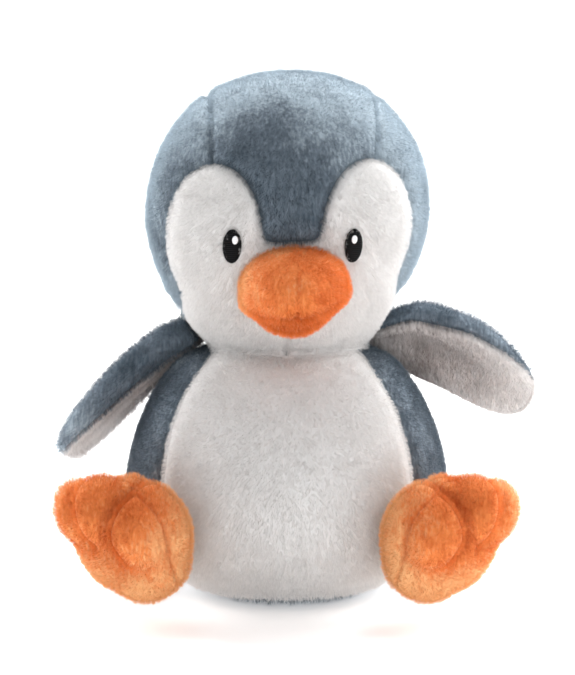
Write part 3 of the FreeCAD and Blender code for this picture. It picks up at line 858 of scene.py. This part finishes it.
beak = blank_ball(BEAK_STEPS)
for vert in beak.verts:
    vert.co = beak_form(vert.co)
beak_core = beak.copy()
cut_along(beak, mouth_gap)
sort_panels(beak, [lambda p: mouth_gap(p) > 0])
swell(beak, mouth_seam_gap, 1.0, 0.6 * MM)
press_seams(beak, mouth_seam_gap, 0.5 * MM, 1.0 * MM)
press_seams(beak, dart_gap, 0.6 * MM, 1.0 * MM)
for vert in beak.verts:
    in_front = smooth_step(-52 * MM, -66 * MM, vert.co.y)
    vert.co.y += 1.1 * MM * in_front * smooth_step(0, 2.0 * MM, -mouth_gap(vert.co))
for number, (name, node) in enumerate((("beak_top", "beak_upper"), ("beak_under", "beak_lower"))):
    piece = panel(beak, name, number)
    for vert in piece.data.vertices:
        vert.co = seat_on_neck(vert.co)
    sew_on(piece, beak_cloth, beak_fur, node, "orange_plush", lean=(0.2, 0, -0.25), seed=30 + number)
    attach(piece, "head")
for vert in beak_core.verts:
    vert.co = seat_on_neck(vert.co)
filling = stuffing("beak_filling", beak_core, 2.6 * MM, "beak_stuffing")
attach(filling, "head")


# ------------------------------------------------------------------ the eyes
# Each eye is an upright oval of black satin stitch with a small white glint stitched on top of it.
# The stitches run across the oval, so that its edge is finely notched.
EYE_HEIGHT = 0.9 * MM
black_thread = threads("black_thread", ((0.002, 0.002, 0.0022), (0.007, 0.007, 0.008)), 0.0, gloss=0.06)
white_thread = threads("white_thread", ((0.78, 0.78, 0.80), (0.90, 0.90, 0.91)), 0.2)


def face_front(across, level):
    """The point of the face's surface at a sideways place and a height."""
    along = Vector((across, 0, level)) - HEAD_CENTRE
    tall, start, close = HEAD_UP if along.z > 0 else HEAD_DOWN
    reach = (1 - abs(along.z / tall) ** start) ** close
    return Vector((across, -HEAD_DEEP * math.sqrt(max(0, reach ** 2 - (across / HEAD_WIDE) ** 2)), level))


def satin_oval(name, middle, half, lift, height, material, node):
    """A padded oval of satin stitch lying on the face."""
    rings, around = 14, 96
    bm = bmesh.new()
    rows = []
    for ring in range(rings + 1):
        share = ring / rings
        row = []
        for step in range(around if ring else 1):
            angle = 2 * math.pi * step / around
            notch = 1 + 0.05 * math.sin(41 * math.sin(angle)) * share
            place = face_front(middle[0] + half[0] * share * notch * math.cos(angle),
                               middle[1] + half[1] * share * math.sin(angle))
            outward = (place - HEAD_CENTRE).normalized()
            rise = lift + height * (1 - share ** 4) ** 0.5
            row.append(bm.verts.new(place + outward * rise))
        rows.append(row)
    for step in range(around):
        bm.faces.new((rows[0][0], rows[1][step], rows[1][(step + 1) % around]))
    for low, high in zip(rows[1:], rows[2:]):
        for step in range(around):
            after = (step + 1) % around
            bm.faces.new((low[step], high[step], high[after], low[after]))
    bmesh.ops.recalc_face_normals(bm, faces=bm.faces[:])
    piece = as_piece(bm, name)
    for vert in piece.data.vertices:
        vert.co = seat_on_neck(vert.co)
    piece.data.materials.append(material)
    thick = piece.modifiers.new("thread", "SOLIDIFY")
    thick.thickness = 1.2 * MM
    thick.offset = -1
    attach(piece, "head")
    stands_for(node)


GLINT_ASIDE = {"left": -0.2 * MM, "right": 1.3 * MM}
for word, middle in EYE_PLACES.items():
    satin_oval("eye_oval_" + word, middle, EYE, 0.7 * MM, EYE_HEIGHT, black_thread,
               "eye_" + word)
    spot = (middle[0] + GLINT_ASIDE[word], middle[1] + 2.5 * MM)
    satin_oval("glint_" + word, spot, (1.05 * MM, 1.55 * MM), 1.45 * MM, 0.4 * MM, white_thread,
               "eye_glint_" + word)


# ----------------------------------------------------------------- the wings
# Each wing is a blue-grey outer and a white lining sewn together round a layer of wadding, turned,
# and closed into the crease beside the neck.  The outer is cut fuller than the lining: it rolls over
# the leading edge and ends in a seam on the lining's side.
WING_STEPS = 46
LEAD_SIDE = {"left": -1, "right": 1}
WING_LONG = {"left": 37 * MM, "right": 40.2 * MM}
WING_WIDE = 17 * MM
WING_REACH = {"left": 33 * MM, "right": 36 * MM}
WING_HEEL = 4 * MM
WING_DOME = 9 * MM
WING_PAN = 2.4 * MM
WING_ROLL = 5.5 * MM
ROLL_BAND = {"left": 2.6 * MM, "right": 5.0 * MM}
TIP_THINNING = {"left": 0.5, "right": 0}
TIP_ROLL = {"left": 0, "right": 0.85}
WING_BLUNT = {"left": 2.5, "right": 3.1}
WING_POSE = {"left": (1, 23, 62), "right": (-1, 43, 23)}
WING_ROOT = {"left": Vector((31 * MM, 14 * MM, 97 * MM)), "right": Vector((-30 * MM, 13 * MM, 102.2 * MM))}


ROOT_BAND = 3 * MM
HEAD_ROOM = 4 * MM
RIDGE_BEND = 62
# The lining's dark colour also serves as painted shade near each wing's root.
LINING = {"dark": (0.25, 0.222, 0.212), "middle": (0.57, 0.54, 0.53),
          "light": (0.74, 0.72, 0.71), "sheen": (1.0, 0.98, 0.96)}


def wing_seat(word):
    """Where a wing's root sits in the crease and how the wing is turned there."""
    side, droop, twist = WING_POSE[word]
    heading = Matrix.Rotation(0 if side > 0 else math.pi, 4, "Z")
    hang = Matrix.Rotation(math.radians(side * droop), 4, "Y")
    turn = Matrix.Rotation(math.radians(-side * twist), 4, "X")
    return Matrix.Translation(WING_ROOT[word]) @ hang @ heading @ turn


def wing_bow(x):
    """How far the wing's middle line lies towards its leading edge."""
    return 8.5 * MM * smooth_step(-4 * MM, 14 * MM, x) - 5.5 * MM * smooth_step(32 * MM, 72 * MM, x)


def wing_form(direction, word):
    """A wing lying flat, leading edge towards +Y: blunt tip, gathered root, a thick rolled leading
    edge and a thin trailing one."""
    power = WING_BLUNT[word]
    spread = (abs(direction.x) ** power + abs(direction.y) ** power + abs(direction.z) ** 2) ** (-1 / power)
    along = direction.x * spread
    lead = direction.y * spread
    gathered = 1 - 0.3 * smooth_step(0.3, 1.0, -along)
    height = math.copysign(abs(direction.z * spread) ** 0.72, direction.z)
    thick = (0.62 + 0.38 * lead) * (1 - TIP_THINNING[word] * smooth_step(0.1, 1.0, along))
    up = height * WING_DOME * thick
    near_tip = smooth_step(0.75, 1.0, along)
    rolled = smooth_step(-0.1, 0.75, lead) * (1 - near_tip) + TIP_ROLL[word] * near_tip
    heel = WING_HEEL * smooth_step(-0.4, -0.9, along)
    down = height * (WING_PAN + (WING_ROLL - WING_PAN) * rolled + heel)
    x = WING_REACH[word] + along * WING_LONG[word]
    return Vector((x, lead * WING_WIDE * gathered + wing_bow(x), up if height > 0 else down))


def wing_lining_gap(point, word):
    """How far a point of a flat-lying wing is outside the lining, which stops at the rolled edge."""
    along = (point.x - WING_REACH[word]) / WING_LONG[word]
    edge = WING_WIDE * max(0.1, 1 - abs(along) ** 2.5) ** 0.4
    band = ROLL_BAND[word] * (1 - smooth_step(0.1, 0.95, along)) + ROOT_BAND * smooth_step(0.2, -0.6, along)
    lead = point.y - wing_bow(point.x)
    return max(point.z, lead - (edge - band)) if lead > 0 else point.z


def wing_wrinkles(point, underside, seed):
    """The soft folds of a wing: a long ridge behind the rolled edge, a hollow beside the ridge and
    gathers at the root."""
    behind = point.y - wing_bow(point.x) - 3.5 * MM - 4 * MM * math.sin(point.x * RIDGE_BEND)
    ridge = math.exp(-((behind / (3.6 * MM)) ** 2)) * smooth_step(50 * MM, 26 * MM, point.x)
    hollow = math.exp(-(((behind + 9 * MM) / (7 * MM)) ** 2)) * smooth_step(64 * MM, 34 * MM, point.x)
    gathers = noise.noise(Vector((point.x * 45, point.y * 110, seed * 7.0)))
    gathers *= 0.2 + smooth_step(34 * MM, 5 * MM, point.x)
    if underside:
        return 1.7 * MM * ridge - 1.5 * MM * hollow + 0.6 * MM * gathers
    return 0.5 * MM * gathers + 0.4 * MM * noise.noise(point * 60)


def under_head(point):
    """Presses a wing's root down and out from under the head, which turns and rocks above it."""
    tall, start, close = HEAD_DOWN
    height = min(1, max(0, (HEAD_LEVEL - point.z) / tall))
    reach = max(NECK_RING, HEAD_WIDE * (1 - height ** start) ** close) + HEAD_ROOM
    centre = Vector((HEAD_LEAN * (point.z - HEAD_LEVEL), 0))
    out = point.xy - centre
    if 0 < out.length < reach:
        share = smooth_step(NECK_LEVEL - 5 * MM, NECK_LEVEL, point.z)
        point.xy += out * share * (reach / out.length - 1)
    return point


def wing_blanks(word, seed):
    """A wing's cloth lying flat, cut and sorted into outer and lining, and the form of its wadding.
    The left wing's leading edge lies towards -Y, so that one is worked out in a mirror."""
    mirror = Vector((1, LEAD_SIDE[word], 1))
    wing = blank_ball(WING_STEPS)
    for vert in wing.verts:
        vert.co = wing_form(vert.co * mirror, word) * mirror
    core = wing.copy()

    def lining_gap(point):
        return wing_lining_gap(point * mirror, word)

    cut_along(wing, lining_gap)
    sort_panels(wing, [lambda point: lining_gap(point) > 0])
    swell(wing, lambda point: abs(lining_gap(point)), 0.6, 0.6 * MM)
    wing.normal_update()
    for vert in wing.verts:
        seam = 1.3 * MM * math.exp(-((lining_gap(vert.co) / (1.1 * MM)) ** 2))
        folds = wing_wrinkles(vert.co * mirror, vert.normal.z < 0, seed)
        vert.co += vert.normal * (folds - seam)
    return wing, core


for number, word in enumerate(("left", "right")):
    wing, core = wing_blanks(word, number)
    seat = wing_seat(word)
    body = "wing_" + word
    # Painted shade and light on each wing: the outer is darker through its middle and a little paler towards
    # its root and tip, the lining darker near its root and paler towards its tip.
    outer = {**BLUE_GREY, "painted_light": (seat @ Vector((28 * MM, 0, 0)), 20 * MM, 62 * MM)}
    lining = {**LINING, "painted_light": (seat @ Vector((18 * MM, 0, 0)), 14 * MM, 46 * MM)}
    parts = (("outer", "blue_grey_plush", outer, 0.8 * FUR), ("lining", "white_plush", lining, 0.4 * FUR))
    lean = seat.to_3x3() @ Vector((0.2, -0.1 * LEAD_SIDE[word], 0))
    for order, (name, slot, look, length) in enumerate(parts):
        node = "wing_%s_%s" % (word, name)
        piece = panel(wing, node + "_cloth", order)
        for vert in piece.data.vertices:
            vert.co = under_head(seat @ vert.co)
        cloth = plush(node + "_ground", **look)
        fur = plush(node + "_fur", **look, tips=True, root=0.75)
        sew_on(piece, cloth, fur, node, slot, lean=lean, length=length, seed=40 + number)
        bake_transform(piece)
    for vert in core.verts:
        vert.co = under_head(seat @ vert.co)
    filling = stuffing("wing_%s_filling" % word, core, 1.6 * MM, "wing_%s_wadding" % word)
    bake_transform(filling)


# ------------------------------------------------------------------ the feet
# Each foot is a sole and a top panel of orange plush, stuffed firmly and sewn to the front of the
# torso.  Two loops of thread are pulled right through it, which makes three toes.
FOOT_SPLAY, FOOT_LEAN, FOOT_ROLL = 35, 10, 24
FOOT_STEPS = 40
FOOT_MIDDLE = Vector((-12 * MM, -24 * MM, 18 * MM))
FOOT_EDGE = -23 * MM
LUMPS = {"sole": ((-10.0, -23.0, 20.5), (24.5, 14.5, 21.5)),
         "heel": ((-12.0, -23.5, 8.0), (15.0, 12.0, 12.0)),
         "inner toe": ((-21.8, -31.5, 21.8), (11.2, 12.0, 13.2)),
         "middle toe": ((-10.0, -31.5, 33.8), (9.6, 12.0, 13.0)),
         "outer toe": ((3.0, -28.0, 36.0), (8.2, 11.0, 12.0))}
LUMPS = [(Vector(middle) * MM, Vector(half) * MM) for middle, half in LUMPS.values()]
TOE_GAPS = ((Vector((-16.4, -31, 28.0)) * MM, Vector((0.77, 0, 0.64))),
            (Vector((-3.9, -30, 35.0)) * MM, Vector((0.99, 0, 0.12))))
TOE_THREAD = 0.4 * MM
CREASE_STEPS = 39
THREAD_DEEP = 4.7 * MM
STITCH_END = Vector((-14.0, -38.0, 20.0)) * MM


def lump_gap(point, middle, half):
    """About how far a point lies outside one lump of stuffing."""
    scaled = Vector([(p - m) / h for p, m, h in zip(point, middle, half)])
    steep = Vector([(p - m) / h ** 2 for p, m, h in zip(point, middle, half)])
    reach = scaled.length
    return reach * (reach - 1) / max(steep.length, 1e-6)


def foot_gap(point):
    """About how far a point lies outside the foot: three toes on a broad sole."""
    soft = 1.0 * MM
    gaps = [lump_gap(point, *lump) for lump in LUMPS]
    nearest = min(gaps)
    total = sum(math.exp(-(gap - nearest) / soft) for gap in gaps)
    return nearest - soft * math.log(total)


def foot_form(direction):
    """The foot's surface in one direction from its middle, found by halving."""
    inside, outside = 0, 45 * MM
    for _ in range(18):
        half = (inside + outside) / 2
        if foot_gap(FOOT_MIDDLE + direction * half) < 0:
            inside = half
        else:
            outside = half
    return FOOT_MIDDLE + direction * inside


def crease_gap(point):
    """Distance to the nearer of the two planes in which a thread is pulled between two toes."""
    return min(abs((point - middle).dot(across)) for middle, across in TOE_GAPS)


def toes(point):
    """1 among the toes, fading to 0 on the sole and at the heel."""
    return smooth_step(19 * MM, 27 * MM, point.z)


def foot_seam_gap(point):
    """Distance behind (or, below zero, in front of) the seam round the foot's edge."""
    return point.y - FOOT_EDGE + 7 * MM * smooth_step(-18 * MM, -31 * MM, point.x)


def foot_seat(word):
    """Where a foot's hip seam lies on the torso and how the foot is turned there."""
    side = 1 if word == "left" else -1
    splay = Matrix.Rotation(math.radians(side * FOOT_SPLAY), 4, "Z")
    lean = Matrix.Rotation(math.radians(FOOT_LEAN), 4, "X")
    roll = Matrix.Rotation(math.radians(side * FOOT_ROLL), 4, "Y")
    mirror = Matrix.Diagonal((side, 1, 1, 1))
    return Matrix.Translation(joint_at["foot_%s_flex" % word]) @ splay @ lean @ roll @ mirror


orange_thread = threads("orange_thread", ((0.36, 0.10, 0.02), (0.55, 0.18, 0.05)), 0.3)
foot_blank = blank_ball(FOOT_STEPS)
for vert in foot_blank.verts:
    vert.co = foot_form(vert.co)
foot_core = foot_blank.copy()
cut_along(foot_blank, foot_seam_gap)
sort_panels(foot_blank, [lambda p: foot_seam_gap(p) < 0])
swell(foot_blank, lambda p: min(abs(foot_seam_gap(p)), crease_gap(p)), 1.0, 0.7 * MM)
foot_blank.normal_update()
for vert in foot_blank.verts:
    point = vert.co
    near_seam = abs(foot_seam_gap(point))
    seam = 0.9 * MM * math.exp(-((near_seam / (1.0 * MM)) ** 2))
    crease = 3.2 * MM * toes(point) * math.exp(-((crease_gap(point) / (2.2 * MM)) ** 2))
    dimple = 2.6 * MM * math.exp(-(((point - STITCH_END).length / (5 * MM)) ** 2))
    pucker = 0.5 * MM * noise.noise(point * 260) * math.exp(-near_seam / (4 * MM))
    lumps = 0.5 * MM * noise.noise(point * 70)
    vert.co += vert.normal * (lumps + pucker - seam - crease - dimple)


def crease_points(middle, across):
    """The line of a pulled thread over the toes' end, lying in its crease."""
    points = []
    for step in range(CREASE_STEPS + 1):
        angle = math.radians(-70 + 250 * step / CREASE_STEPS)
        aim = middle + 20 * MM * Vector((0, -math.cos(angle), math.sin(angle)))
        aim -= across * (aim - middle).dot(across)
        direction = (aim - FOOT_MIDDLE).normalized()
        points.append(foot_form(direction) - direction * THREAD_DEEP)
    return points


for number, word in enumerate(("left", "right")):
    seat = foot_seat(word)
    body = "foot_" + word
    # Painted shade on the toes and painted light on the sole: darker near the toes, paler farther down the
    # sole.
    toes_place = seat @ Vector((-16 * MM, -42 * MM, 30 * MM))
    painted_light_field = (toes_place, 9 * MM, 36 * MM)
    foot_cloth = plush("foot_cloth_" + word, **ORANGE, patch=70, painted_light=painted_light_field)
    foot_fur = plush("foot_fur_" + word, **ORANGE, patch=70, tips=True, root=0.72, painted_light=painted_light_field)
    for order, (name, node) in enumerate((("sole", "sole"), ("instep", "top"))):
        piece = panel(foot_blank, "foot_%s_%s_cloth" % (word, name), order)
        piece.data.transform(seat)
        if word == "right":
            piece.data.flip_normals()
        sew_on(piece, foot_cloth, foot_fur, "foot_%s_%s" % (word, node), "orange_plush",
               lean=(0, 0, 0.2), seed=50 + number)
        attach(piece, body)
    core = foot_core.copy()
    for vert in core.verts:
        vert.co = seat @ vert.co
    if word == "right":
        bmesh.ops.reverse_faces(core, faces=core.faces[:])
    filling = stuffing("foot_%s_filling" % word, core, 5.6 * MM, "foot_%s_stuffing" % word)
    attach(filling, body)
    joined = bmesh.new()
    for gap in TOE_GAPS:
        loop = thread_along("loop", [seat @ point for point in crease_points(*gap)], TOE_THREAD)
        joined.from_mesh(loop.data)
        bpy.data.objects.remove(loop)
    stitches = as_piece(joined, "toe_threads_" + word)
    stitches.data.materials.append(orange_thread)
    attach(stitches, body)
    stands_for("foot_%s_toe_stitches" % word)


# ------------------------------------------------------------- stage and light
# A pale sweep that curves up behind the toy, broad soft lights in front, above and behind at both
# sides, a white room beyond them, and the camera a little above the toy's middle.
FLOOR_REACH = 7
BEND_START, BEND, BEND_STEPS = 1.2, 0.5, 24
WALL_TOP = 3.5


def sweep():
    """A pale floor that curves up into a wall."""
    bm = bmesh.new()
    rows = []
    for step in range(BEND_STEPS + 1):
        angle = math.pi / 2 * step / BEND_STEPS
        rows.append((BEND_START + BEND * math.sin(angle), BEND * (1 - math.cos(angle))))
    profile = [(-FLOOR_REACH, 0)] + rows + [(BEND_START + BEND, WALL_TOP)]
    lines = [[bm.verts.new((side, back, up)) for back, up in profile] for side in (-FLOOR_REACH, FLOOR_REACH)]
    for place in range(len(profile) - 1):
        bm.faces.new((lines[0][place], lines[0][place + 1], lines[1][place + 1], lines[1][place]))
    floor = as_piece(bm, "floor")
    paper, _, shader = surface("pale_paper", 0.9)
    shader.inputs["Base Color"].default_value = (0.93, 0.93, 0.93, 1)
    shader.inputs["Emission Color"].default_value = (1, 1, 1, 1)
    shader.inputs["Emission Strength"].default_value = 0.36
    floor.data.materials.append(paper)


MIDDLE = Vector((0, 0, 0.1))


def soft_light(name, place, size, power):
    """A broad square light aimed at the toy's middle."""
    lamp = bpy.data.lights.new(name, "AREA")
    lamp.size = size
    lamp.energy = power
    holder = bpy.data.objects.new(name, lamp)
    holder.location = place
    holder.rotation_euler = (MIDDLE - Vector(place)).to_track_quat("-Z", "Y").to_euler()
    scene.collection.objects.link(holder)


sweep()
world = bpy.data.worlds.new("room")
world.use_nodes = True
room = world.node_tree
lit = room.nodes["Background"]
lit.inputs["Color"].default_value = (0.97, 0.98, 1.0, 1)
lit.inputs["Strength"].default_value = 0.30
far_wall = room.nodes.new("ShaderNodeBackground")
far_wall.inputs["Color"].default_value = (1, 1, 1, 1)
far_wall.inputs["Strength"].default_value = 1.05
seen = room.nodes.new("ShaderNodeLightPath")
either = room.nodes.new("ShaderNodeMixShader")
link(room, seen, "Is Camera Ray", either, "Fac")
link(room, lit, "Background", either, 1)
link(room, far_wall, "Background", either, 2)
link(room, either, "Shader", room.nodes["World Output"], "Surface")
scene.world = world
soft_light("front", (0.25, -0.95, 0.55), 0.7, 2.9)
soft_light("top", (0.1, 0.35, 1.15), 0.7, 17.0)
soft_light("back_right", (0.85, 0.45, 0.45), 0.6, 14.0)
soft_light("back_left", (-0.85, 0.45, 0.45), 0.6, 10.0)

VIEW_UP = math.radians(8)
VIEW_FAR = 0.9
view = bpy.data.cameras.new("view")
view.lens = 124.8
view.sensor_width = 36
camera = bpy.data.objects.new("view", view)
camera_aim = Vector((0.3 * MM, 0, 98.7 * MM))
camera.location = camera_aim + VIEW_FAR * Vector((0, -math.cos(VIEW_UP), math.sin(VIEW_UP)))
camera.rotation_euler = (camera_aim - camera.location).to_track_quat("-Z", "Y").to_euler()
scene.collection.objects.link(camera)
scene.camera = camera
scene.view_settings.view_transform = "Standard"
